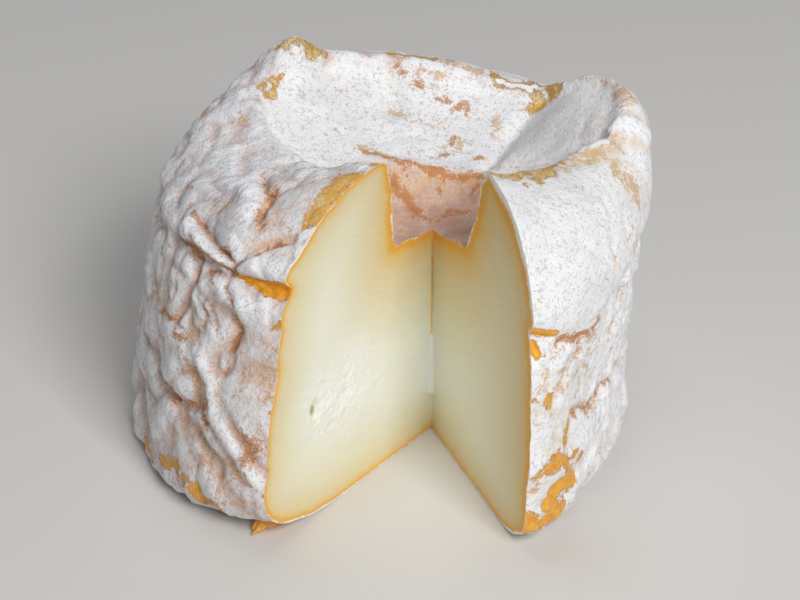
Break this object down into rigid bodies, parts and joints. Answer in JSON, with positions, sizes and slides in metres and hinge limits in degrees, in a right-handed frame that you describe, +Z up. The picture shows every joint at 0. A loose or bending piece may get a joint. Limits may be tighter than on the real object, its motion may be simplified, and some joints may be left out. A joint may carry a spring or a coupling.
{
  "type": "small soft washed-rind cheese with a wedge cut out",
  "caption": "Small round washed-rind cheese with a sunken top and a white, orange-flecked wrinkled rind, a wedge cut away to show its pale paste",
  "frame": {"origin": "centre of the bounding box's underside, on the table", "axes": "+Z up; the cut wedge opens towards -Y, a few degrees towards -X"},
  "size_m": [0.0788, 0.0786, 0.054],
  "materials": {
    "rind": "matte, powdery white mould over an orange rind, with smooth pale paste where it is cut"
  },
  "bodies": {
    "root": {"cheese": "rind"}
  },
  "joints": []
}
